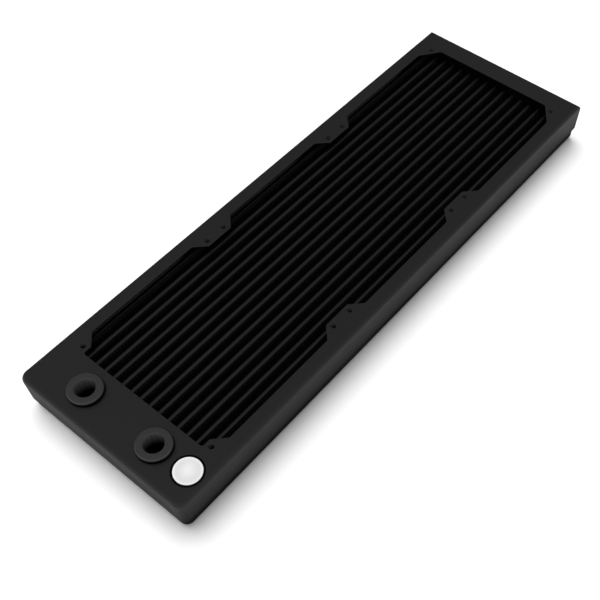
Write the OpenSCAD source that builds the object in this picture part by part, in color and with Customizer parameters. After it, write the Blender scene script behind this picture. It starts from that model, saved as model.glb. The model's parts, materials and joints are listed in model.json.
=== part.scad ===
// Slim liquid cooling radiator for a row of 120 mm fans.
// X runs from the port end to the far end, Y across the width, Z up.
// The origin is the centre of the fan row, on the bottom face.

/* [Fan row] */
// Number of fans that bolt on side by side
fan_count = 3; // [1:1:4]
// Distance from one fan's centre to the next
fan_pitch = 120; // [120:1:124]
// Distance between the screw holes of one fan
hole_spacing = 105; // [104:0.5:106]
// Bore of each tapped screw hole, M4
screw_d = 3.3; // [2.8:0.1:3.6]

/* [Housing] */
// Width across the two long sides
body_w = 132.5; // [131:0.5:136]
// Thickness from the bottom face to the top face
body_t = 28.5; // [27.5:0.5:32]
// Length of the housing beyond the fan row at the port end
port_end = 31; // [29.5:0.5:40]
// Length of the housing beyond the fan row at the far end
far_end = 11.5; // [9:0.5:16]
// Thickness of the sheet steel
sheet = 1; // [0.8:0.1:1.1]
// Corner radius of the housing at the port end, seen from above
port_corner_r = 6; // [5.5:0.5:9]
// Outer bend radius between the upper cover's face and its walls
bend_r = 3; // [2:0.1:3.2]
// Outer bend radius between the lower cover's face and its walls
lower_bend_r = 2; // [1.5:0.1:2.4]
// Height of the upper cover's lower edge above the bottom face
seam_z = 8.5; // [7:0.5:14]
// Height of the strip where the two covers overlap
seam_lap = 4; // [2:0.5:6]

/* [Fan opening] */
// Half the clear width of the opening
opening_half_w = 56.25; // [56:0.25:57]
// Distance from the fan row's end to the opening's end
opening_margin = 4.25; // [3.5:0.25:5]
// Distance from the centre line to the edge of a screw tab
tab_reach = 48.5; // [47.5:0.25:49]
// Length of the straight edge of a tab between two fans
tab_flat = 20; // [18:0.5:22]
// Radius of the opening's corners
opening_corner_r = 1.5; // [0.5:0.25:2]

/* [Core] */
// Distance from one coolant tube to the next
tube_pitch = 7.55; // [7.3:0.05:7.6]
// Width of a coolant tube across its flats
tube_w = 2.4; // [1.8:0.1:2.6]
// Height of a coolant tube
tube_h = 16; // [14:0.5:18]
// Wall thickness of a coolant tube
tube_wall = 0.35; // [0.25:0.05:0.45]
// Distance from a tube's edge to the fin strip's edge, above and below
fin_drop = 1.5; // [0.3:0.1:3]
// Length of one full wave of the folded fin strip
fin_pitch = 5; // [4:0.25:8]
// Thickness of the fin strip
fin_sheet = 0.2; // [0.12:0.02:0.3]

/* [Ports] */
// Distance from the row's port end to the port centres
port_inset = 12; // [12:0.5:13]
// Distance between the two port centres
port_spacing = 56; // [50:1:58]
// Bore of the ports, the inside diameter of a G1/4 thread
port_bore_d = 11.45; // [11.4:0.05:11.9]
// Outside diameter of the raised port collars
collar_d = 22; // [20:0.5:23]
// Height of the port collars above the top face
collar_h = 3; // [2:0.1:4]

/* [Badge] */
// Diameter of the round blank badge
badge_d = 17; // [15:0.5:18]
// Height of the badge above the top face
badge_proud = 0.3; // [0.1:0.1:0.6]

/* [Hidden] */
$fn = 64;

cut = 1;
gap = 0.1;
tube_count = 14;
fin_count = tube_count + 1;

// Housing
row_half = fan_count * fan_pitch / 2;
x_port = -row_half - port_end;
x_far = row_half + far_end;
lower_inset = sheet + gap;
flat_inset = max(bend_r, lower_inset + lower_bend_r) + 0.2;
face_in_low = sheet;
face_in_high = body_t - sheet;
burr_r = screw_d / 2 + 0.8;
burr_h = 1.6;

// Fan opening
open_x = row_half - opening_margin;
tab_slope = opening_half_w - tab_reach;
port_tab_flat = 6;
far_chamfer_x = 14;
far_chamfer_y = 10.5;
corner_steps = 5;

// Tanks
tank_wall = 1.2;
tank_half_w = body_w / 2 - flat_inset - 1.3;
tank_corner_r = 5;
header_t = 1.2;
header_x = open_x + 0.8;
header_back = header_x + header_t;
port_tank_end = -x_port - flat_inset;
return_tank_end = x_far - flat_inset;
tube_end = header_back + 1.2;
tube_low = (body_t - tube_h) / 2;

// Ports and badge
port_x = -row_half - port_inset;
neck_r = port_bore_d / 2 + 2.4;
neck_drop = 8.5;
collar_top = body_t + collar_h;
collar_round = 1.2;
mouth_r = 6.4;
badge_x = port_x + 0.7;
badge_y = -53;
badge_groove = 0.7;
pad_h = 0.2;
badge_seat_h = 0.6;

// Side plates and fins
core_half_w = tube_pitch * tube_count / 2 + tube_pitch / 2 - tube_w / 2;
side_plate_t = 1.2;
side_plate_h = tube_h + 2;
fin_w = tube_pitch - tube_w - gap;
fin_h = tube_h - 2 * fin_drop;
fin_folds = 2 * floor((2 * header_x - 1) / fin_pitch);

// A closed outline with every corner of the list replaced by an arc.
function unit(v) = v / norm(v);
function round_corners(pts, r) = [
    for (i = [0 : len(pts) - 1])
        let (
            here = pts[i],
            to_last = unit(pts[(i + len(pts) - 1) % len(pts)] - here),
            to_next = unit(pts[(i + 1) % len(pts)] - here),
            half_angle = acos(to_last * to_next) / 2,
            middle = here + unit(to_last + to_next) * r / sin(half_angle),
            start = here + to_last * r / tan(half_angle) - middle,
            end = here + to_next * r / tan(half_angle) - middle
        )
        for (k = [0 : corner_steps])
            let (mix = unit(start * (corner_steps - k) + end * k))
            middle + mix * r
];

// One long edge of the fan opening, from the port end to the far end.
function opening_edge() = concat(
    [[-open_x, tab_reach], [-open_x + port_tab_flat, tab_reach]],
    [[-open_x + port_tab_flat + tab_slope, opening_half_w]],
    [
        for (i = [1 : 1 : fan_count - 1])
            let (x = i * fan_pitch - row_half)
            for (step = [
                [-tab_flat / 2 - tab_slope, opening_half_w],
                [-tab_flat / 2, tab_reach],
                [tab_flat / 2, tab_reach],
                [tab_flat / 2 + tab_slope, opening_half_w]
            ])
                [x + step[0], step[1]]
    ],
    [[open_x - far_chamfer_x, opening_half_w], [open_x, opening_half_w - far_chamfer_y]]
);

module opening_outline() {
    edge = opening_edge();
    far_to_near = [for (i = [len(edge) - 1 : -1 : 0]) [edge[i][0], -edge[i][1]]];
    polygon(round_corners(concat(edge, far_to_near), opening_corner_r));
}

// Section of a block from its middle out to w, with its upper outside corner rounded.
module bent_section(w, h, bend) {
    square([w, h - bend]);
    square([w - bend, h]);
    translate([w - bend, h - bend])
        intersection() {
            circle(bend);
            square(bend);
        }
}

// The same section on both sides of its middle.
module wide_bent_section(w, h, bend) {
    translate([-w, 0])
        square([2 * w, h - bend]);
    translate([bend - w, 0])
        square([2 * (w - bend), h]);
    for (side = [-1, 1])
        translate([side * (w - bend), h - bend])
            intersection() {
                circle(bend);
                translate([side < 0 ? -bend : 0, 0])
                    square(bend);
            }
}

// Block in the housing's plan shape, moved inward by inset, with bent edges round its top.
// Its port corners are round in plan, and at the far corners the bends meet in a mitre.
module housing_block(inset, h, bend) {
    corner_r = port_corner_r - inset;
    half_w = body_w / 2 - inset;
    x0 = x_port + inset;
    x1 = x_far - inset;
    length = x1 - x0 - corner_r;
    intersection() {
        translate([x0 + corner_r, 0, 0])
            rotate([90, 0, 90])
                linear_extrude(length)
                    wide_bent_section(half_w, h, bend);
        translate([x0 + corner_r, half_w + cut, 0])
            rotate([90, 0, 0])
                linear_extrude(2 * (half_w + cut))
                    bent_section(length, h, bend);
    }
    translate([x0 + corner_r, corner_r - half_w, 0])
        rotate([90, 0, 180])
            linear_extrude(2 * (half_w - corner_r))
                bent_section(corner_r, h, bend);
    for (side = [-1, 1])
        translate([x0 + corner_r, side * (half_w - corner_r), 0])
            rotate([0, 0, side > 0 ? 90 : 180])
                rotate_extrude(angle = 90)
                    bent_section(corner_r, h, bend);
}

// A cover pressed from sheet: open at z = 0, with its outer face at z = h.
module pressed_cover(inset, h, bend) {
    difference() {
        housing_block(inset, h, bend);
        translate([0, 0, -cut])
            housing_block(inset + sheet, h - sheet + cut, bend - sheet);
    }
}

module at_screw_holes() {
    for (i = [0 : fan_count - 1])
        for (dx = [-1, 1])
            for (dy = [-1, 1])
                translate([
                    (i + 0.5) * fan_pitch - row_half + dx * hole_spacing / 2,
                    dy * hole_spacing / 2,
                    0
                ])
                    children();
}

module at_ports() {
    for (side = [-1, 1])
        translate([port_x, side * port_spacing / 2, 0])
            children();
}

// A cover with its fan opening and tapped, burred screw holes.
module fan_cover(inset, h, bend) {
    difference() {
        union() {
            pressed_cover(inset, h, bend);
            at_screw_holes()
                translate([0, 0, h - sheet - burr_h])
                    cylinder(h = burr_h + sheet / 2, r = burr_r);
        }
        translate([0, 0, h - sheet - cut])
            linear_extrude(sheet + 2 * cut)
                opening_outline();
        at_screw_holes()
            translate([0, 0, h - sheet - burr_h - cut])
                cylinder(h = sheet + burr_h + 2 * cut, d = screw_d);
    }
}

module top_cover() {
    color("#262626")
        difference() {
            translate([0, 0, seam_z])
                fan_cover(0, body_t - seam_z, bend_r);
            at_ports()
                translate([0, 0, face_in_high - cut])
                    cylinder(h = sheet + 2 * cut, d = collar_d + 2 * gap);
            translate([badge_x, badge_y, body_t - badge_seat_h])
                cylinder(h = badge_seat_h + cut, r = badge_d / 2 + badge_groove);
        }
}

module bottom_cover() {
    color("#2b2b2b")
        translate([0, 0, seam_z + seam_lap])
            mirror([0, 0, 1])
                fan_cover(lower_inset, seam_z + seam_lap, lower_bend_r);
}

// Plan outline of the port tank, its wall moved inward by inset.
module port_tank_outline(inset) {
    r = tank_corner_r - inset;
    half_w = tank_half_w - inset;
    x0 = -port_tank_end + inset;
    x1 = -header_back;
    translate([x0 + r, -half_w])
        square([x1 - x0 - r, 2 * half_w]);
    translate([x0, -half_w + r])
        square([r, 2 * (half_w - r)]);
    for (side = [-1, 1])
        translate([x0 + r, side * (half_w - r)])
            circle(r);
}

module port_tank() {
    color("#8f7440")
        difference() {
            translate([0, 0, face_in_low])
                linear_extrude(face_in_high - face_in_low)
                    port_tank_outline(0);
            translate([0, 0, face_in_low + tank_wall])
                linear_extrude(face_in_high - face_in_low - 2 * tank_wall) {
                    port_tank_outline(tank_wall);
                    translate([-header_back - cut, tank_wall - tank_half_w])
                        square([2 * cut, 2 * (tank_half_w - tank_wall)]);
                }
            at_ports()
                translate([0, 0, face_in_high - tank_wall - cut])
                    cylinder(h = tank_wall + 2 * cut, r = neck_r + gap);
        }
}

module tank_divider() {
    color("#8f7440")
        translate([tank_wall - port_tank_end, -tank_wall / 2, face_in_low + tank_wall])
            cube([
                port_tank_end - tank_wall - tube_end - gap,
                tank_wall,
                face_in_high - face_in_low - 2 * tank_wall
            ]);
}

module return_tank() {
    depth = return_tank_end - header_back;
    color("#8f7440")
        difference() {
            translate([header_back, -tank_half_w, face_in_low])
                cube([depth, 2 * tank_half_w, face_in_high - face_in_low]);
            translate([header_back - cut, tank_wall - tank_half_w, face_in_low + tank_wall])
                cube([
                    depth - tank_wall + cut,
                    2 * (tank_half_w - tank_wall),
                    face_in_high - face_in_low - 2 * tank_wall
                ]);
        }
}

// Plate that closes a tank, with one slot for each coolant tube.
module header_plate(x) {
    difference() {
        translate([x, -tank_half_w, face_in_low])
            cube([header_t, 2 * tank_half_w, face_in_high - face_in_low]);
        for (i = [1 : tube_count])
            translate([x - cut, tube_y(i) - tube_w / 2 - gap / 2, tube_low - gap / 2])
                cube([header_t + 2 * cut, tube_w + gap, tube_h + gap]);
    }
}

module port_header_plate() {
    color("#1c1c1c")
        header_plate(-header_back);
}

module return_header_plate() {
    color("#1c1c1c")
        header_plate(header_x);
}

// Threaded bushing soldered into the tank, with a collar that stands above the cover.
module port_bushing(side) {
    translate([port_x, side * port_spacing / 2, 0])
        difference() {
            union() {
                translate([0, 0, face_in_high])
                    cylinder(h = collar_top - face_in_high - collar_round, d = collar_d);
                translate([0, 0, face_in_high])
                    cylinder(h = collar_top - face_in_high, r = collar_d / 2 - collar_round);
                translate([0, 0, collar_top - collar_round])
                    rotate_extrude()
                        translate([collar_d / 2 - collar_round, 0])
                            circle(collar_round);
                translate([0, 0, face_in_high - neck_drop])
                    cylinder(h = neck_drop, r = neck_r);
            }
            translate([0, 0, face_in_high - neck_drop - cut])
                cylinder(h = collar_top, d = port_bore_d);
            translate([0, 0, collar_top - (mouth_r - port_bore_d / 2)])
                cylinder(h = mouth_r - port_bore_d / 2 + 0.01, r1 = port_bore_d / 2, r2 = mouth_r);
        }
}

module inlet_port_bushing() {
    color("#333333")
        port_bushing(1);
}

module outlet_port_bushing() {
    color("#333333")
        port_bushing(-1);
}

module badge_disc() {
    low = body_t - badge_seat_h + pad_h;
    top = body_t + badge_proud;
    color("#ececec")
        translate([badge_x, badge_y, low]) {
            cylinder(h = top - low - badge_proud, d = badge_d);
            cylinder(h = top - low, r = badge_d / 2 - badge_proud);
            translate([0, 0, top - low - badge_proud])
                rotate_extrude()
                    translate([badge_d / 2 - badge_proud, 0])
                        intersection() {
                            circle(badge_proud);
                            square(badge_proud);
                        }
        }
}

module badge_adhesive_pad() {
    color("#c9c4b4")
        translate([badge_x, badge_y, body_t - badge_seat_h])
            cylinder(h = pad_h, r = badge_d / 2 - 0.4);
}

// Plate along one side of the core, outside the last fin strip.
module side_plate(side) {
    color("#202020")
        translate([
            -header_x + gap,
            side > 0 ? core_half_w : -core_half_w - side_plate_t,
            (body_t - side_plate_h) / 2
        ])
            cube([2 * (header_x - gap), side_plate_t, side_plate_h]);
}

module left_side_plate() {
    side_plate(1);
}

module right_side_plate() {
    side_plate(-1);
}

// Tubes and fins are numbered from the left side, +Y, to the right.
function tube_y(i) = ((tube_count + 1) / 2 - i) * tube_pitch;
function fin_y(i) = ((fin_count + 1) / 2 - i) * tube_pitch;

// Flat coolant tube with round edges, open at both ends.
module flat_tube_section(inset) {
    r = tube_w / 2 - inset;
    translate([-(tube_h / 2 - tube_w / 2), -r])
        square([tube_h - tube_w, 2 * r]);
    for (end = [-1, 1])
        translate([end * (tube_h / 2 - tube_w / 2), 0])
            circle(r);
}

module flat_tube(i) {
    color("#1e1e1e")
        translate([-tube_end, tube_y(i), body_t / 2])
            rotate([0, 90, 0])
                linear_extrude(2 * tube_end)
                    difference() {
                        flat_tube_section(0);
                        flat_tube_section(tube_wall);
                    }
}

// Folded strip whose crests meet the tubes on both sides.
module fin_strip(i) {
    run = fin_pitch / 2;
    thick = fin_sheet / 2 * norm([run, fin_w]) / run;
    crest = fin_w / 2 - thick;
    wave = [for (k = [0 : fin_folds]) [(k - fin_folds / 2) * run, k % 2 == 0 ? -crest : crest]];
    left = [for (k = [0 : fin_folds]) wave[k] + [0, thick]];
    right = [for (k = [fin_folds : -1 : 0]) wave[k] - [0, thick]];
    color("#141414")
        translate([0, fin_y(i), (body_t - fin_h) / 2])
            linear_extrude(fin_h)
                polygon(concat(left, right));
}

top_cover();
bottom_cover();
port_tank();
tank_divider();
port_header_plate();
return_tank();
return_header_plate();
inlet_port_bushing();
outlet_port_bushing();
badge_disc();
badge_adhesive_pad();
left_side_plate();
right_side_plate();
flat_tube(1);  // flat_tube_01
flat_tube(2);  // flat_tube_02
flat_tube(3);  // flat_tube_03
flat_tube(4);  // flat_tube_04
flat_tube(5);  // flat_tube_05
flat_tube(6);  // flat_tube_06
flat_tube(7);  // flat_tube_07
flat_tube(8);  // flat_tube_08
flat_tube(9);  // flat_tube_09
flat_tube(10);  // flat_tube_10
flat_tube(11);  // flat_tube_11
flat_tube(12);  // flat_tube_12
flat_tube(13);  // flat_tube_13
flat_tube(14);  // flat_tube_14
fin_strip(1);  // fin_strip_01
fin_strip(2);  // fin_strip_02
fin_strip(3);  // fin_strip_03
fin_strip(4);  // fin_strip_04
fin_strip(5);  // fin_strip_05
fin_strip(6);  // fin_strip_06
fin_strip(7);  // fin_strip_07
fin_strip(8);  // fin_strip_08
fin_strip(9);  // fin_strip_09
fin_strip(10);  // fin_strip_10
fin_strip(11);  // fin_strip_11
fin_strip(12);  // fin_strip_12
fin_strip(13);  // fin_strip_13
fin_strip(14);  // fin_strip_14
fin_strip(15);  // fin_strip_15
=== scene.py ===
"""Looks of a slim liquid cooling radiator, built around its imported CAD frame. Lengths are in metres."""
import json
import math
import random

import bmesh
import bpy
from mathutils import Matrix, Vector


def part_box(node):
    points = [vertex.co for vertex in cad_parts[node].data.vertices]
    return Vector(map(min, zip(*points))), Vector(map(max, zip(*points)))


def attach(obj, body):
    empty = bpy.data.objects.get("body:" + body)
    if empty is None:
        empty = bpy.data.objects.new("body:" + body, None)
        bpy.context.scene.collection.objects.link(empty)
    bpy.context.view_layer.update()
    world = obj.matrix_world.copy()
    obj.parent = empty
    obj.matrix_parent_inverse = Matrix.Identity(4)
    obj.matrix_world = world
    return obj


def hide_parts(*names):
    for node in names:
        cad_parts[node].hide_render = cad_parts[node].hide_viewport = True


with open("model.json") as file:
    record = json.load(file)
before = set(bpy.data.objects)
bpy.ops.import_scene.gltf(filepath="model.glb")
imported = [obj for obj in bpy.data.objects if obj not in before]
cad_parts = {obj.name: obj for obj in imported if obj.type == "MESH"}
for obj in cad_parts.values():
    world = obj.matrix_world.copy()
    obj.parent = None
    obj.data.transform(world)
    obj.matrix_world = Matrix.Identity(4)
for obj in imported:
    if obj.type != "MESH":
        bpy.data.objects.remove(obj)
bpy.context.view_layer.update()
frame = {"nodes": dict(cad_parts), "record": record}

MM = 0.001
BODY = "root"

# ---------------------------------------------------------------- sizes taken from the frame

cover_low, cover_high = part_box("top_cover")
tray_low, tray_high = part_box("bottom_cover")
tube_low, tube_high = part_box("flat_tube_01")
badge_low, badge_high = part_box("badge_disc")
inlet_low, inlet_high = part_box("inlet_port_bushing")
mounts = {m["name"]: m for m in frame["record"]["mounts"]}
fan_mounts = [m for name, m in mounts.items() if name.startswith("top_fan")]
port_mounts = {name: m for name, m in mounts.items() if m["kind"] == "threaded_hole"}

TUBE_COUNT = sum(name.startswith("flat_tube") for name in frame["nodes"])
FIN_COUNT = sum(name.startswith("fin_strip") for name in frame["nodes"])
TUBE_PITCH = tube_low.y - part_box("flat_tube_02")[0].y
TUBE_CROWN = 0.8 * MM
TUBE_WALL = 0.3 * MM

TOP_Z = cover_high.z
SHEET = 1.0 * MM
UPPER_BEND = 2.7 * MM
LOWER_BEND = 2.0 * MM
EDGE = 0.22 * MM
PORT_CORNER = 6 * MM
FAR_CORNER = 0.5 * MM
MIN_RADIUS = 0.05 * MM

FAN_COUNT = len(fan_mounts)
FAN_PITCH = 120 * MM
ROW_HALF = FAN_COUNT * FAN_PITCH / 2
OPEN_X = ROW_HALF - 4.25 * MM
OPEN_Y = 56.25 * MM
TAB_Y = 48.5 * MM
TAB_SLOPE = OPEN_Y - TAB_Y
TAB_HALF = 10 * MM
PORT_TAB_FLAT = 6 * MM
FAR_CHAMFER = 14 * MM
FAR_CORNER_Y = 45.75 * MM
OPEN_CORNER = 1.5 * MM

SCREW_R = fan_mounts[0]["dims"]["hole_r_mm"] * MM
SCREW_PITCH = 0.7 * MM
SCREW_THREAD = 0.32 * MM
BURR_R = SCREW_R + 0.8 * MM
BURR_H = 1.6 * MM

PORT_BORE = port_mounts["inlet_port"]["dims"]["r_mm"] * MM
PORT_PITCH = 1.337 * MM
PORT_THREAD = 0.78 * MM
COLLAR_R = (inlet_high.x - inlet_low.x) / 2
COLLAR_TOP = inlet_high.z
NECK_R = PORT_BORE + 2.4 * MM
NECK_LOW = inlet_low.z
MOUTH_R = 6.4 * MM
COLLAR_ROUND = 1.2 * MM

BADGE_R = (badge_high.x - badge_low.x) / 2
BADGE_CENTRE = (badge_low + badge_high) / 2
BADGE_GROOVE = 1.3 * MM
BADGE_SEAT = 0.6 * MM


# ---------------------------------------------------------------- mesh building

class Builder:
    """Collects rings of points, walls between rings and flat caps bounded by rings."""

    def __init__(self):
        self.bm = bmesh.new()

    def ring(self, points):
        return [self.bm.verts.new(p) for p in points]

    def wall(self, a, b):
        n = len(a)
        for i in range(n):
            j = (i + 1) % n
            self.bm.faces.new((a[i], a[j], b[j], b[i]))

    def stack(self, rings, closed=False):
        made = [self.ring(r) for r in rings]
        for a, b in zip(made, made[1:]):
            self.wall(a, b)
        if closed:
            self.wall(made[-1], made[0])
        return made[0], made[-1]

    def cap(self, *rings):
        edges = []
        for r in rings:
            for a, b in zip(r, r[1:] + r[:1]):
                edges.append(self.bm.edges.get((a, b)) or self.bm.edges.new((a, b)))
        bmesh.ops.triangle_fill(self.bm, use_beauty=True, edges=edges, normal=(0, 0, 1))

    def fan(self, ring, centre):
        c = self.bm.verts.new(centre)
        for a, b in zip(ring, ring[1:] + ring[:1]):
            self.bm.faces.new((a, b, c))

    def piece(self, name, material, slot_name, *nodes):
        bmesh.ops.recalc_face_normals(self.bm, faces=self.bm.faces)
        mesh = bpy.data.meshes.new(name)
        self.bm.to_mesh(mesh)
        self.bm.free()
        return add_piece(name, mesh, material, slot_name, *nodes)


def add_piece(name, mesh, material, slot_name, *nodes):
    obj = bpy.data.objects.new(name, mesh)
    bpy.context.scene.collection.objects.link(obj)
    mesh.materials.append(material)
    mesh.polygons.foreach_set("use_smooth", [True] * len(mesh.polygons))
    mesh.set_sharp_from_angle(angle=math.radians(50))
    weighted = obj.modifiers.new("weighted_normals", "WEIGHTED_NORMAL")
    weighted.keep_sharp = True
    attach(obj, BODY)
    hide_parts(*nodes)
    return obj


def circle(centre, radius, z, count):
    step = 2 * math.pi / count
    return [(centre[0] + radius * math.cos(i * step), centre[1] + radius * math.sin(i * step), z)
            for i in range(count)]


def thread_ring(centre, radius, depth, pitch, z, count):
    """A ring of a right-hand internal thread: its radius swells once a turn, and moves on with z."""
    points = []
    for i in range(count):
        turn = i / count
        wave = 0.5 - 0.5 * math.cos(2 * math.pi * (z / pitch - turn))
        r = radius + depth * wave ** 0.8
        angle = 2 * math.pi * turn
        points.append((centre[0] + r * math.cos(angle), centre[1] + r * math.sin(angle), z))
    return points


def thread_rings(centre, radius, depth, pitch, z_from, z_to, count, rows_a_turn):
    """Rings of a thread from z_from to z_to, running out smoothly at both ends."""
    rows = max(2, round(abs(z_to - z_from) / pitch * rows_a_turn))
    rings = []
    for k in range(rows + 1):
        t = k / rows
        fade = min(1.0, t * rows / rows_a_turn * 2, (1 - t) * rows / rows_a_turn * 2)
        z = z_from + (z_to - z_from) * t
        rings.append(thread_ring(centre, radius, depth * fade, pitch, z, count))
    return rings


def outline(low, high, port_r, far_r, inset, z, steps=12):
    """The housing's plan outline, moved inward by inset, as a ring at height z."""
    rp, rf = max(port_r - inset, MIN_RADIUS), max(far_r - inset, MIN_RADIUS)
    x0, x1 = low.x + inset, high.x - inset
    y0, y1 = low.y + inset, high.y - inset
    corners = ((x1 - rf, y1 - rf, rf, 0), (x0 + rp, y1 - rp, rp, 90),
               (x0 + rp, y0 + rp, rp, 180), (x1 - rf, y0 + rf, rf, 270))
    ring = []
    for cx, cy, r, start in corners:
        for k in range(steps + 1):
            a = math.radians(start + 90 * k / steps)
            ring.append((cx + r * math.cos(a), cy + r * math.sin(a), z))
    return ring


def opening_corners():
    """Corners of the fan opening, counter-clockwise, each fan bay narrowed by its screw tabs."""
    port_flat_end = -OPEN_X + PORT_TAB_FLAT
    edge = [(-OPEN_X, TAB_Y), (port_flat_end, TAB_Y), (port_flat_end + TAB_SLOPE, OPEN_Y)]
    for i in range(1, FAN_COUNT):
        x = i * FAN_PITCH - ROW_HALF
        edge += [(x - TAB_HALF - TAB_SLOPE, OPEN_Y), (x - TAB_HALF, TAB_Y),
                 (x + TAB_HALF, TAB_Y), (x + TAB_HALF + TAB_SLOPE, OPEN_Y)]
    edge += [(OPEN_X - FAR_CHAMFER, OPEN_Y), (OPEN_X, FAR_CORNER_Y)]
    return [(x, -y) for x, y in edge] + edge[::-1]


def opening(spread, z, steps=6):
    """The fan opening's ring, widened by spread, with every corner an arc."""
    points = [Vector(p) for p in opening_corners()]
    n = len(points)
    ring = []
    for i in range(n):
        before, here, after = points[i - 1], points[i], points[(i + 1) % n]
        d_in, d_out = (here - before).normalized(), (after - here).normalized()
        out_in, out_out = Vector((d_in.y, -d_in.x)), Vector((d_out.y, -d_out.x))
        turn = d_in.x * d_out.y - d_in.y * d_out.x
        radius = OPEN_CORNER + (spread if turn > 0 else -spread)
        mitre = (out_in + out_out) / (1 + out_in.dot(out_out))
        corner = here + mitre * spread
        inward = -mitre if turn > 0 else mitre
        centre = corner + inward * radius
        start, end = (out_in, out_out) if turn > 0 else (-out_in, -out_out)
        for k in range(steps + 1):
            direction = start.slerp(end, k / steps)
            p = centre + direction * radius
            ring.append((p.x, p.y, z))
    return ring


def build_cover(name, low, high, face_z, port_r, far_r, bend, face_side, ports, material, node):
    """A pressed sheet cover. face_side is 1 when its face is on top and -1 when it is underneath."""
    height = high.z - low.z

    def at(depth):
        return face_z - face_side * depth

    arc = [math.radians(90 * k / 10) for k in range(11)]
    inner = bend - SHEET
    rim = [(bend * (1 - math.sin(a)), bend * (1 - math.cos(a))) for a in arc]
    rim += [(EDGE * (1 - math.cos(a)), height - EDGE * (1 - math.sin(a))) for a in arc[::5]]
    rim += [(SHEET - EDGE * (1 - math.sin(a)), height - EDGE * (1 - math.cos(a))) for a in arc[::5]]
    rim += [(SHEET + inner * (1 - math.cos(a)), SHEET + inner * (1 - math.sin(a))) for a in arc[::2]]

    b = Builder()
    face, inside = b.stack([outline(low, high, port_r, far_r, inset, at(depth)) for inset, depth in rim])
    face_loops, inside_loops = [face], [inside]

    lip = [(EDGE * (1 - math.sin(a)), EDGE * (1 - math.cos(a))) for a in arc[::5]]
    lip += [(EDGE * (1 - math.cos(a)), SHEET - EDGE * (1 - math.sin(a))) for a in arc[::5]]
    first, last = b.stack([opening(spread, at(depth)) for spread, depth in lip])
    face_loops.append(first)
    inside_loops.append(last)

    for m in fan_mounts:
        half = m["dims"]["spacing_x_mm"] * MM / 2
        for dx in (-half, half):
            for dy in (-half, half):
                centre = (m["pos_m"][0] + dx, m["pos_m"][1] + dy)
                first, last = b.stack(screw_hole_rings(centre, at))
                face_loops.append(first)
                inside_loops.append(last)

    if ports:
        hole_r = COLLAR_R + 0.1 * MM
        for m in port_mounts.values():
            centre = m["pos_m"][:2]
            profile = ((hole_r + 0.15 * MM, 0), (hole_r, 0.15 * MM), (hole_r, SHEET - 0.1 * MM),
                       (hole_r + 0.1 * MM, SHEET))
            first, last = b.stack([circle(centre, r, at(d), 96) for r, d in profile])
            face_loops.append(first)
            inside_loops.append(last)
        seat_r = BADGE_R + BADGE_GROOVE
        profile = ((seat_r + 0.18 * MM, 0), (seat_r + 0.05 * MM, 0.05 * MM), (seat_r, 0.18 * MM),
                   (seat_r, BADGE_SEAT - 0.1 * MM), (seat_r - 0.1 * MM, BADGE_SEAT))
        first, last = b.stack([circle(BADGE_CENTRE, r, at(d), 96) for r, d in profile])
        face_loops.append(first)
        b.fan(last, (BADGE_CENTRE.x, BADGE_CENTRE.y, at(BADGE_SEAT)))

    b.cap(*face_loops)
    b.cap(*inside_loops)
    return b.piece(name, material, "housing_paint", node)


def screw_hole_rings(centre, at, count=28):
    """A tapped hole from the face down through its burr, and back up the burr's outside."""
    mouth = 0.15 * MM
    depth = SHEET + BURR_H
    fillet = 0.35 * MM
    rings = [circle(centre, SCREW_R + mouth, at(0), count)]
    rings += thread_rings(centre, SCREW_R, SCREW_THREAD, SCREW_PITCH, at(mouth), at(depth - 0.1 * MM),
                          count, rows_a_turn=8)
    for r, d in ((BURR_R - 0.15 * MM, depth), (BURR_R, depth - 0.15 * MM), (BURR_R, SHEET + fillet),
                 (BURR_R + 0.1 * MM, SHEET + 0.1 * MM), (BURR_R + fillet, SHEET)):
        rings.append(circle(centre, r, at(d), count))
    return rings


def build_port(name, node, mount, material):
    """A collar and neck with a helical internal thread."""
    centre = mount["pos_m"][:2]
    count = 96
    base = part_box("port_tank")[1].z
    bevel = 0.3 * MM
    profile = [(NECK_R - bevel, NECK_LOW), (NECK_R, NECK_LOW + bevel), (NECK_R, base), (COLLAR_R, base)]
    for k in range(7):
        a = math.radians(90 * k / 6)
        profile.append((COLLAR_R - COLLAR_ROUND * (1 - math.cos(a)),
                        COLLAR_TOP - COLLAR_ROUND * (1 - math.sin(a))))
    lead = MOUTH_R - PORT_BORE
    profile += [(MOUTH_R + 0.2 * MM, COLLAR_TOP), (MOUTH_R + 0.06 * MM, COLLAR_TOP - 0.06 * MM)]
    rings = [circle(centre, r, z, count) for r, z in profile]
    rings += thread_rings(centre, PORT_BORE + 0.1 * MM, PORT_THREAD, PORT_PITCH, COLLAR_TOP - lead,
                          NECK_LOW + 0.4 * MM, count, rows_a_turn=12)
    rings.append(circle(centre, PORT_BORE + 0.3 * MM, NECK_LOW, count))
    b = Builder()
    b.stack(rings, closed=True)
    return b.piece(name, material, "port_paint", node)


def build_badge(material):
    """A blank disc, very slightly domed, with a rounded rim."""
    low, high = badge_low.z, badge_high.z
    rim = 0.35 * MM
    dome = 0.08 * MM
    count = 96
    profile = [(BADGE_R - 0.1 * MM, low), (BADGE_R, low + 0.1 * MM)]
    for k in range(6):
        a = math.radians(90 * k / 5)
        profile.append((BADGE_R - rim * (1 - math.cos(a)), high - dome - rim * (1 - math.sin(a))))
    flat = BADGE_R - rim
    for share in (0.9, 0.7, 0.5, 0.3, 0.12):
        profile.append((flat * share, high - dome * share * share))
    b = Builder()
    first, last = b.stack([circle(BADGE_CENTRE, r, z, count) for r, z in profile])
    b.fan(first, (BADGE_CENTRE.x, BADGE_CENTRE.y, low))
    b.fan(last, (BADGE_CENTRE.x, BADGE_CENTRE.y, high))
    return b.piece("badge_face", material, "badge", "badge_disc")


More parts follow.
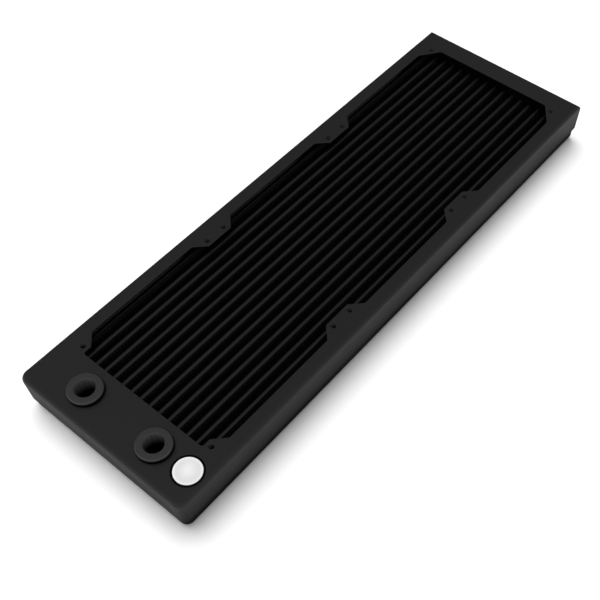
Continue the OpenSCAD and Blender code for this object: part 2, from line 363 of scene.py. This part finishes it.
def fin_centre_line(x_from, x_to, half, rng):
    """Points of a folded strip: straight legs across the gap, joined by round crests."""
    fold = 1.25 * MM
    crest = fold / 2
    arc_steps = 5
    count = int((x_to - x_from) / fold)
    start = (x_from + x_to - (count - 1) * fold) / 2
    reach = half - crest
    points = []
    for k in range(count):
        side = 1 if k % 2 else -1
        lean = rng.uniform(-0.09, 0.09) * MM
        x = start + k * fold + lean
        points += [(x, -side * reach), (x, 0), (x, side * reach)]
        if k < count - 1:
            cx = start + (k + 0.5) * fold
            for s in range(1, arc_steps):
                a = math.pi * (1 - s / arc_steps)
                points.append((cx + crest * math.cos(a) + lean * (1 - s / arc_steps),
                               side * (reach + crest * math.sin(a))))
    return [Vector(p) for p in points]


def build_fins(name, node, material, rng):
    low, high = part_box(node)
    y = (low.y + high.y) / 2
    half_sheet = 0.06 * MM
    half = (TUBE_PITCH - (tube_high.y - tube_low.y)) / 2 - half_sheet - 0.02 * MM
    line = fin_centre_line(low.x, high.x, half, rng)
    n = len(line)
    verts = []
    for i, p in enumerate(line):
        d = (line[min(i + 1, n - 1)] - line[max(i - 1, 0)]).normalized()
        side = Vector((-d.y, d.x)) * half_sheet
        for q in (p + side, p - side):
            verts += [(q.x, y + q.y, low.z), (q.x, y + q.y, high.z)]
    faces = []
    for i in range(n - 1):
        a, b = 4 * i, 4 * (i + 1)
        faces += [(a, a + 1, b + 1, b), (a + 2, b + 2, b + 3, a + 3),
                  (a + 1, a + 3, b + 3, b + 1), (a, b, b + 2, a + 2)]
    last = 4 * (n - 1)
    faces += [(0, 2, 3, 1), (last, last + 1, last + 3, last + 2)]
    mesh = bpy.data.meshes.new(name)
    mesh.from_pydata(verts, [], faces)
    mesh.validate()
    return add_piece(name, mesh, material, "fin_paint", node)


def tube_section(half_w, half_h, crown, steps=6):
    """Points (y, z) round a flat tube's section, counter-clockwise, with rounded corners."""
    points = []
    for sy, sz, start in ((1, 1, 0), (-1, 1, 90), (-1, -1, 180), (1, -1, 270)):
        for k in range(steps + 1):
            a = math.radians(start + 90 * k / steps)
            points.append((sy * (half_w - crown) + crown * math.cos(a),
                           sz * (half_h - crown) + crown * math.sin(a)))
    return points


def build_tube(name, node, material, rng):
    """A drawn flat tube, open at both ends, whose crown rises and falls very slightly along its length."""
    low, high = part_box(node)
    y, z = (low.y + high.y) / 2, (low.z + high.z) / 2
    half_w, half_h = (high.y - low.y) / 2, (high.z - low.z) / 2
    stations = 64
    deepest = 0.22 * MM
    waves = [(rng.uniform(2, 7), rng.uniform(0, 2 * math.pi)) for _ in range(3)]
    outside = tube_section(half_w, half_h, TUBE_CROWN)
    inside = tube_section(half_w - TUBE_WALL, half_h - TUBE_WALL, TUBE_CROWN - TUBE_WALL)
    outer, inner = [], []
    for k in range(stations + 1):
        t = k / stations
        x = low.x + (high.x - low.x) * t
        sag = sum(0.5 + 0.5 * math.sin(2 * math.pi * count * t + phase) for count, phase in waves) / 3
        drop = deepest * sag * math.sin(math.pi * t)
        for section, rings in ((outside, outer), (inside, inner)):
            rings.append([(x, y + p, z + q - (drop if q > 0 else 0)) for p, q in section])
    b = Builder()
    b.stack(outer + inner[::-1], closed=True)
    return b.piece(name, material, "tube_paint", node)


# ---------------------------------------------------------------- materials

class Nodes:
    """Short names for building one material's node tree."""

    def __init__(self, name):
        self.material = bpy.data.materials.new(name)
        self.material.use_nodes = True
        self.tree = self.material.node_tree
        self.bsdf = self.tree.nodes["Principled BSDF"]
        self.coords = self.tree.nodes.new("ShaderNodeTexCoord").outputs["Object"]

    def add(self, kind, inputs=None, **props):
        node = self.tree.nodes.new(kind)
        for key, value in props.items():
            setattr(node, key, value)
        for key, value in (inputs or {}).items():
            if isinstance(value, bpy.types.NodeSocket):
                self.tree.links.new(value, node.inputs[key])
            else:
                node.inputs[key].default_value = value
        return node

    def noise(self, scale, detail=2.0, roughness=0.5, stretch=None):
        vector = self.coords
        if stretch:
            vector = self.add("ShaderNodeMapping", {"Vector": vector, "Scale": stretch}).outputs["Vector"]
        return self.add("ShaderNodeTexNoise", {"Vector": vector, "Scale": scale, "Detail": detail,
                                               "Roughness": roughness}).outputs["Fac"]

    def spread(self, value, low, high, from_low=0.3, from_high=0.7):
        return self.add("ShaderNodeMapRange", {"Value": value, "From Min": from_low, "From Max": from_high,
                                               "To Min": low, "To Max": high}).outputs["Result"]

    def mix(self, factor, a, b):
        """A colour between a and b. Either may be a colour or a socket."""
        node = self.add("ShaderNodeMix", data_type="RGBA")
        for key, kind, value in (("Factor", "VALUE", factor), ("A", "RGBA", a), ("B", "RGBA", b)):
            socket = next(s for s in node.inputs if s.name == key and s.type == kind)
            if isinstance(value, bpy.types.NodeSocket):
                self.tree.links.new(value, socket)
            else:
                socket.default_value = value if kind == "VALUE" else (*value, 1)
        return next(s for s in node.outputs if s.type == "RGBA")

    def math(self, operation, a, b):
        return self.add("ShaderNodeMath", {0: a, 1: b}, operation=operation).outputs[0]

    def vector(self, operation, a, b):
        return self.add("ShaderNodeVectorMath", {0: a, 1: b}, operation=operation)

    def place(self, axis):
        return self.add("ShaderNodeSeparateXYZ", {"Vector": self.coords}).outputs[axis]

    def bump(self, height, distance, strength=1.0, under=None):
        inputs = {"Height": height, "Distance": distance, "Strength": strength}
        if under is not None:
            inputs["Normal"] = under
        return self.add("ShaderNodeBump", inputs).outputs["Normal"]

    def edge_mask(self, radius):
        """1 near convex or concave edges, 0 on open surface."""
        bevel = self.add("ShaderNodeBevel", {"Radius": radius}, samples=4).outputs["Normal"]
        normal = self.add("ShaderNodeNewGeometry").outputs["Normal"]
        dot = self.vector("DOT_PRODUCT", bevel, normal).outputs["Value"]
        return self.spread(dot, 1.0, 0.0, 0.86, 0.995)

    def finish(self, **inputs):
        for key, value in inputs.items():
            socket = self.bsdf.inputs[key.replace("_", " ")]
            if isinstance(value, bpy.types.NodeSocket):
                self.tree.links.new(value, socket)
            elif isinstance(value, tuple):
                socket.default_value = (*value, 1)
            else:
                socket.default_value = value
        return self.material


def near_axis(n, centres, radius):
    """1 within radius of any of the vertical axes through centres, 0 elsewhere."""
    found = None
    for centre in centres:
        across = n.vector("SUBTRACT", n.coords, (centre[0], centre[1], 0)).outputs["Vector"]
        flat = n.vector("MULTIPLY", across, (1, 1, 0)).outputs["Vector"]
        test = n.math("LESS_THAN", n.vector("LENGTH", flat, (0, 0, 0)).outputs["Value"], radius)
        found = test if found is None else n.math("MAXIMUM", found, test)
    return found


def badge_seat_painted_shade(n):
    """Painted shade in the badge's seat and groove, below the face."""
    near = near_axis(n, [BADGE_CENTRE], BADGE_R + BADGE_GROOVE + 0.1 * MM)
    return n.math("MULTIPLY", near, n.spread(n.place("Z"), 1.0, 0.0, TOP_Z - 0.1 * MM, TOP_Z))


def port_painted_shade(n):
    """Painted shade that deepens down the bores, and at the foot of the collars."""
    near = near_axis(n, [m["pos_m"] for m in port_mounts.values()], MOUTH_R + 0.1 * MM)
    deep = n.spread(n.place("Z"), 1.0, 0.0, COLLAR_TOP - 11 * MM, COLLAR_TOP + 1.5 * MM)
    foot = n.spread(n.place("Z"), 1.0, 0.0, TOP_Z + 0.9 * MM, TOP_Z + 2.6 * MM)
    return n.add("ShaderNodeMix", {"Factor": near, "A": foot, "B": deep}).outputs["Result"]


def powder_coat(name, dark, light, rough, grain, specular, edge_tint, bare=None):
    """Black powder coat: fine orange peel, faint cloudy tone, edges rubbed a little smoother and lighter.
    Painted shade turns it near black and dull where bare, a function that adds a mask to the nodes, gives 1."""
    n = Nodes(name)
    cloud = n.noise(9.0, 3.0)
    speckle = n.noise(2600.0, 2.0, 0.6)
    tone = n.spread(n.math("ADD", n.math("MULTIPLY", cloud, 0.6), n.math("MULTIPLY", speckle, 0.4)), 0, 1)
    colour = n.mix(tone, dark, light)
    edges = n.edge_mask(0.5 * MM)
    worn = n.math("MULTIPLY", edges, n.spread(n.noise(220.0, 3.0), 0.15, 0.85))
    colour = n.mix(worn, colour, edge_tint)
    peel = n.noise(grain, 3.0, 0.55)
    fine = n.noise(grain * 3.2, 2.0, 0.5)
    normal = n.bump(peel, 0.018 * MM)
    normal = n.bump(fine, 0.006 * MM, under=normal)
    roughness = n.spread(n.noise(40.0, 3.0), rough - 0.04, rough + 0.05)
    roughness = n.math("SUBTRACT", roughness, n.math("MULTIPLY", worn, 0.12))
    # Painted shade: where the mask from bare gives 1, the colour goes near black and the reflection weak.
    shade_mask = bare(n) if bare else 0.0
    colour = n.mix(shade_mask, colour, (0.001, 0.001, 0.001))
    shine = n.spread(shade_mask, specular, 0.05, 0.0, 1.0)
    return n.finish(Base_Color=colour, Roughness=roughness, Normal=normal, Specular_IOR_Level=shine)


def tube_paint(name, shade, specular):
    """Thin paint over drawn metal: lengthwise draw lines and small drips, with painted shade that makes it
    reflect less towards the far end.
    """
    n = Nodes(name)
    lines = n.noise(160.0, 3.0, 0.6, stretch=(0.04, 1.0, 1.0))
    blotch = n.noise(55.0, 4.0, 0.6)
    colour = n.mix(n.spread(blotch, 0, 1), (shade, shade, shade), (shade * 1.6, shade * 1.6, shade * 1.65))
    worn = n.math("MULTIPLY", n.edge_mask(0.4 * MM), n.spread(n.noise(300.0, 3.0), 0.0, 0.6))
    colour = n.mix(worn, colour, (shade * 3, shade * 3, shade * 3))
    normal = n.bump(lines, 0.02 * MM)
    normal = n.bump(n.noise(900.0, 3.0, 0.6), 0.015 * MM, under=normal)
    # Painted shade: the reflection weakens along the row towards the far end.
    shine = n.spread(n.place("X"), specular * 1.1, specular * 0.78, -ROW_HALF, ROW_HALF)
    return n.finish(Base_Color=colour, Roughness=n.spread(blotch, 0.42, 0.56), Normal=normal,
                    Specular_IOR_Level=shine)


def fin_paint():
    """Very thin paint over copper strip, with louvre lines pressed across each fold, and painted light next
    to the tubes.
    """
    n = Nodes("fin_paint")
    cover = n.spread(n.noise(130.0, 4.0, 0.65), 0.0, 1.0, 0.25, 0.75)
    colour = n.mix(cover, (0.0008, 0.0008, 0.0008), (0.0016, 0.0016, 0.0015))
    # Painted light: the fins turn lighter close to each tube, widening the tubes' lit bands.
    to_tube = n.math("PINGPONG", n.math("ADD", n.place("Y"), TUBE_PITCH * TUBE_COUNT), TUBE_PITCH / 2)
    lit_beside_tube = n.add("ShaderNodeMapRange",
                  {"Value": to_tube, "From Min": 1.5 * MM, "From Max": TUBE_PITCH / 2 - 1.2 * MM,
                   "To Min": 0.0, "To Max": 1.0}, interpolation_type="SMOOTHSTEP").outputs["Result"]
    colour = n.mix(lit_beside_tube, colour, (0.02, 0.02, 0.02))
    slats = n.add("ShaderNodeTexWave", {"Vector": n.coords, "Scale": 160.0, "Distortion": 0.0},
                  bands_direction="Z").outputs["Fac"]
    normal = n.bump(slats, 0.12 * MM)
    normal = n.bump(n.noise(1500.0, 2.0), 0.01 * MM, under=normal)
    return n.finish(Base_Color=colour, Roughness=n.spread(cover, 0.6, 0.75), Normal=normal,
                    Specular_IOR_Level=0.08)


def painted_brass(name):
    """Brass sheet, tarnished and bare inside the tank, and painted black outside."""
    n = Nodes(name)
    wall = 0.6 * MM
    tank_low, tank_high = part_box("port_tank")
    far_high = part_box("return_tank")[1]
    inside = None
    for axis, start, end in (("X", tank_low.x, far_high.x), ("Y", tank_low.y, tank_high.y),
                             ("Z", tank_low.z, tank_high.z)):
        for key, limit in (("GREATER_THAN", start + wall), ("LESS_THAN", end - wall)):
            test = n.math(key, n.place(axis), limit)
            inside = test if inside is None else n.math("MULTIPLY", inside, test)
    tarnish = n.noise(38.0, 5.0, 0.6)
    bare = n.mix(n.spread(tarnish, 0, 1), (0.36, 0.25, 0.10), (0.15, 0.10, 0.045))
    paint = n.mix(n.spread(tarnish, 0, 1), (0.004, 0.004, 0.004), (0.008, 0.008, 0.008))
    lines = n.noise(420.0, 2.0, 0.5, stretch=(0.05, 1.0, 1.0))
    return n.finish(Base_Color=n.mix(inside, paint, bare), Metallic=inside,
                    Roughness=n.spread(tarnish, 0.34, 0.55), Normal=n.bump(lines, 0.01 * MM),
                    Specular_IOR_Level=0.3)


def badge_white():
    """White anodised disc with faint turning rings and a slightly greyer band near its rim."""
    n = Nodes("badge_white")
    distance = n.vector("DISTANCE", n.coords, tuple(BADGE_CENTRE)).outputs["Value"]
    rings = n.add("ShaderNodeTexNoise",
                  {"W": n.math("MULTIPLY", distance, 5200.0), "Scale": 1.0, "Detail": 2.0},
                  noise_dimensions="1D").outputs["Fac"]
    blotch = n.noise(120.0, 3.0)
    colour = n.mix(n.spread(blotch, 0, 1), (0.68, 0.68, 0.685), (0.73, 0.73, 0.735))
    colour = n.mix(n.spread(rings, 0.0, 0.10), colour, (0.5, 0.5, 0.51))
    band = n.math("MULTIPLY", n.spread(distance, 0.0, 1.0, BADGE_R * 0.15, BADGE_R * 0.65),
                  n.spread(distance, 1.0, 0.0, BADGE_R * 0.84, BADGE_R * 0.92))
    colour = n.mix(n.math("MULTIPLY", band, 0.26), colour, (0.3, 0.3, 0.305))
    return n.finish(Base_Color=colour, Roughness=n.spread(rings, 0.34, 0.5),
                    Normal=n.bump(rings, 0.006 * MM), Specular_IOR_Level=0.5)


def foam_tape():
    """Closed-cell adhesive tape under the badge."""
    n = Nodes("foam_tape")
    cells = n.add("ShaderNodeTexVoronoi", {"Vector": n.coords, "Scale": 3000.0}).outputs["Distance"]
    colour = n.mix(n.spread(cells, 0, 1, 0.0, 0.6), (0.42, 0.40, 0.34), (0.62, 0.60, 0.52))
    return n.finish(Base_Color=colour, Roughness=0.85, Normal=n.bump(cells, 0.05 * MM))


FLOOR_BEFORE = 0.43
FLOOR_BESIDE = 0.5
FLOOR_FAR = 0.9
FLOOR_BEHIND = 0.05


def floor_white():
    """Pale seamless paper, clear from below. Reflections see it darker: about half as bright close before
    and beside the object, full only further off, and nearly black behind it."""
    n = Nodes("floor_white")
    fibres = n.noise(60.0, 4.0, 0.6)
    colour = n.mix(n.spread(fibres, 0, 1), (0.925, 0.925, 0.925), (0.935, 0.935, 0.935))
    end, side = cover_low.x, cover_low.y
    before = n.spread(n.place("X"), FLOOR_BEFORE, FLOOR_BEHIND, end - 8 * MM, end + 8 * MM)
    beside = n.spread(n.place("Y"), FLOOR_BESIDE, FLOOR_BEHIND, side - 9 * MM, side - 1 * MM)
    far_end = n.spread(n.place("X"), FLOOR_FAR, 0.0, end - 50 * MM, end - 12 * MM)
    far_side = n.spread(n.place("Y"), FLOOR_FAR, 0.0, side - 50 * MM, side - 12 * MM)
    near = n.math("MAXIMUM", before, beside)
    mirrored = n.math("MAXIMUM", near, n.math("MAXIMUM", far_end, far_side))
    glossy = n.add("ShaderNodeLightPath").outputs["Is Glossy Ray"]
    shade = n.math("SUBTRACT", 1.0, n.math("MULTIPLY", glossy, n.math("SUBTRACT", 1.0, mirrored)))
    colour = n.add("ShaderNodeVectorMath", {0: colour, 3: shade}, operation="SCALE").outputs["Vector"]
    material = n.finish(Base_Color=colour, Roughness=n.spread(fibres, 0.85, 0.95), Specular_IOR_Level=0.1)
    behind = n.add("ShaderNodeNewGeometry").outputs["Backfacing"]
    clear = n.add("ShaderNodeBsdfTransparent").outputs["BSDF"]
    both = n.add("ShaderNodeMixShader", {0: behind, 1: n.bsdf.outputs["BSDF"], 2: clear}).outputs["Shader"]
    n.tree.links.new(both, n.tree.nodes["Material Output"].inputs["Surface"])
    return material


# ---------------------------------------------------------------- pieces

BLACK = (0.0035, 0.0035, 0.0036)
BLACK_CLOUD = (0.0052, 0.0052, 0.0053)
BLACK_EDGE = (0.012, 0.012, 0.0124)
housing = powder_coat("housing_paint", BLACK, BLACK_CLOUD, 0.42, 1400.0, 0.42, BLACK_EDGE, badge_seat_painted_shade)
lower = powder_coat("lower_housing_paint", BLACK, BLACK_CLOUD, 0.42, 1400.0, 0.42, BLACK_EDGE)
collar = powder_coat("port_paint", BLACK, (0.0055, 0.0055, 0.0056), 0.38, 2000.0, 0.85, (0.02, 0.02, 0.0205),
                     port_painted_shade)
plate = powder_coat("side_plate_paint", (0.004, 0.004, 0.004), (0.007, 0.007, 0.007), 0.55, 1400.0, 0.25,
                    (0.02, 0.02, 0.02))
tubes = tube_paint("tube_paint", 0.0024, 0.36)
# Painted shade: the header plates get a darker, duller copy of the tube paint for the shade under the
# flanges.
shaded_header = tube_paint("header_paint_shaded", 0.0010, 0.06)
fins = fin_paint()
tank = painted_brass("tank_brass")
badge = badge_white()
tape = foam_tape()

build_cover("upper_housing", cover_low, cover_high, TOP_Z, PORT_CORNER, FAR_CORNER, UPPER_BEND,
            1, True, housing, "top_cover")
tray_inset = tray_low.x - cover_low.x
build_cover("lower_housing", tray_low, tray_high, tray_low.z, PORT_CORNER - tray_inset, FAR_CORNER,
            LOWER_BEND, -1, False, lower, "bottom_cover")
build_port("inlet_port", "inlet_port_bushing", port_mounts["inlet_port"], collar)
build_port("outlet_port", "outlet_port_bushing", port_mounts["outlet_port"], collar)
build_badge(badge)
fold_rng = random.Random(11)
for i in range(1, TUBE_COUNT + 1):
    build_tube(f"tube_{i:02d}", f"flat_tube_{i:02d}", tubes, fold_rng)
for i in range(1, FIN_COUNT + 1):
    build_fins(f"fins_{i:02d}", f"fin_strip_{i:02d}", fins, fold_rng)

cad_materials = {"side_plate": plate, "tank": tank, "header_plate": shaded_header, "adhesive": tape}
for name, obj in frame["nodes"].items():
    for key, material in cad_materials.items():
        if key in name:
            obj.data.materials.clear()
            obj.data.materials.append(material)

# ---------------------------------------------------------------- studio

# The floor has a window under the object's flat underside, so that light from below reaches it.
floor_mesh = bpy.data.meshes.new("floor")
reach = 30.0
flat = LOWER_BEND + 0.2 * MM
x0, x1, y0, y1 = tray_low.x + flat, tray_high.x - flat, tray_low.y + flat, tray_high.y - flat
around = [(-reach, -reach, 0), (reach, -reach, 0), (reach, reach, 0), (-reach, reach, 0)]
window = [(x0, y0, 0), (x1, y0, 0), (x1, y1, 0), (x0, y1, 0)]
floor_mesh.from_pydata(around + window, [], [(0, 1, 5, 4), (1, 2, 6, 5), (2, 3, 7, 6), (3, 0, 4, 7)])
floor_mesh.materials.append(floor_white())
floor = bpy.data.objects.new("floor", floor_mesh)
bpy.context.scene.collection.objects.link(floor)


def direction(azimuth, elevation):
    """Unit vector from the object towards a place seen at that azimuth and elevation, in degrees."""
    a, e = math.radians(azimuth), math.radians(elevation)
    return Vector((math.sin(a) * math.cos(e), -math.cos(a) * math.cos(e), math.sin(e)))


def sun(name, azimuth, elevation, strength, softness):
    """A distant light that reflections don't see; softness is its width in degrees."""
    light = bpy.data.lights.new(name, "SUN")
    light.energy = strength
    light.angle = math.radians(softness)
    obj = bpy.data.objects.new(name, light)
    obj.rotation_mode = "QUATERNION"
    obj.rotation_quaternion = (-direction(azimuth, elevation)).to_track_quat("-Z", "Y")
    obj.visible_glossy = False
    bpy.context.scene.collection.objects.link(obj)


CAM_AZIMUTH, CAM_ELEVATION, CAM_ROLL = -50.44, 60.17, -0.16
CAM_DISTANCE = 471.42 * MM
CAM_TARGET = Vector((-106.82 * MM, -94.55 * MM, TOP_Z))
CAM_LENS = 50.107
CAM_SHIFT = (-0.07695, 0.18095)
KEY_AZIMUTH, KEY_ELEVATION = 155, 68
KEY_STRENGTH, KEY_SOFTNESS = 2.7, 50
AMBIENT = 0.5
AMBIENT_BELOW = 0.15
DIM_SIDE = direction(125, -10)
MIRRORED_BRIGHT, MIRRORED_DIM = 0.71, 0.08

sun("key", KEY_AZIMUTH, KEY_ELEVATION, KEY_STRENGTH, KEY_SOFTNESS)


def studio_world():
    """Plain white surroundings, black below for whoever looks down through the fins.
    Reflections see them bright round the camera and dim on the far side."""
    world = bpy.data.worlds.new("studio")
    bpy.context.scene.world = world
    world.use_nodes = True
    tree = world.node_tree
    coords = tree.nodes.new("ShaderNodeTexCoord")
    facing = tree.nodes.new("ShaderNodeVectorMath")
    facing.operation = "DOT_PRODUCT"
    facing.inputs[1].default_value = DIM_SIDE
    tree.links.new(coords.outputs["Generated"], facing.inputs[0])
    fade = tree.nodes.new("ShaderNodeMapRange")
    for key, value in (("From Min", -0.3), ("From Max", 1.0),
                       ("To Min", MIRRORED_BRIGHT), ("To Max", MIRRORED_DIM)):
        fade.inputs[key].default_value = value
    tree.links.new(facing.outputs["Value"], fade.inputs["Value"])
    path = tree.nodes.new("ShaderNodeLightPath").outputs

    def choose(chance, otherwise, wanted):
        pick = tree.nodes.new("ShaderNodeMix")
        for key, value in (("Factor", chance), ("A", otherwise), ("B", wanted)):
            if isinstance(value, bpy.types.NodeSocket):
                tree.links.new(value, pick.inputs[key])
            else:
                pick.inputs[key].default_value = value
        return pick.outputs["Result"]

    height = tree.nodes.new("ShaderNodeSeparateXYZ")
    tree.links.new(coords.outputs["Generated"], height.inputs["Vector"])
    above = tree.nodes.new("ShaderNodeMath")
    above.operation = "GREATER_THAN"
    above.inputs[1].default_value = -0.1
    tree.links.new(height.outputs["Z"], above.inputs[0])
    soft = choose(above.outputs["Value"], AMBIENT_BELOW, AMBIENT)
    lit = choose(path["Is Glossy Ray"], soft, fade.outputs["Result"])
    strength = choose(path["Is Camera Ray"], lit, above.outputs["Value"])
    background = tree.nodes["Background"].inputs
    background["Color"].default_value = (1, 1, 1, 1)
    tree.links.new(strength, background["Strength"])


studio_world()

camera = bpy.data.cameras.new("camera")
camera.lens = CAM_LENS
camera.clip_start = 0.01
cam = bpy.data.objects.new("camera", camera)
bpy.context.scene.collection.objects.link(cam)
back = direction(CAM_AZIMUTH, CAM_ELEVATION)
turn = math.radians(CAM_AZIMUTH)
right = Vector((math.cos(turn), math.sin(turn), 0))
upward = back.cross(right)
roll = math.radians(CAM_ROLL)
rolled_right = right * math.cos(roll) + upward * math.sin(roll)
rolled_up = upward * math.cos(roll) - right * math.sin(roll)
rotation = Matrix((rolled_right, rolled_up, back)).transposed().to_4x4()
cam.matrix_world = Matrix.Translation(CAM_TARGET + back * CAM_DISTANCE) @ rotation
bpy.context.scene.camera = cam
# The lens is shifted only while the camera is turned by Euler angles, as it is here. A camera that another
# view turns by a quaternion, whose rotation mode counts as 0, looks straight ahead.
for axis, amount in zip(("shift_x", "shift_y"), CAM_SHIFT):
    curve = camera.driver_add(axis)
    curve.driver.type = "SUM"
    turned_by_angles = curve.driver.variables.new()
    turned_by_angles.targets[0].id = cam
    turned_by_angles.targets[0].data_path = "rotation_mode"
    scale = curve.modifiers[0] if curve.modifiers else curve.modifiers.new("GENERATOR")
    scale.mode = "POLYNOMIAL"
    scale.poly_order = 1
    scale.coefficients = (0.0, amount)
bpy.context.scene.view_settings.view_transform = "Standard"

bpy.context.view_layer.update()
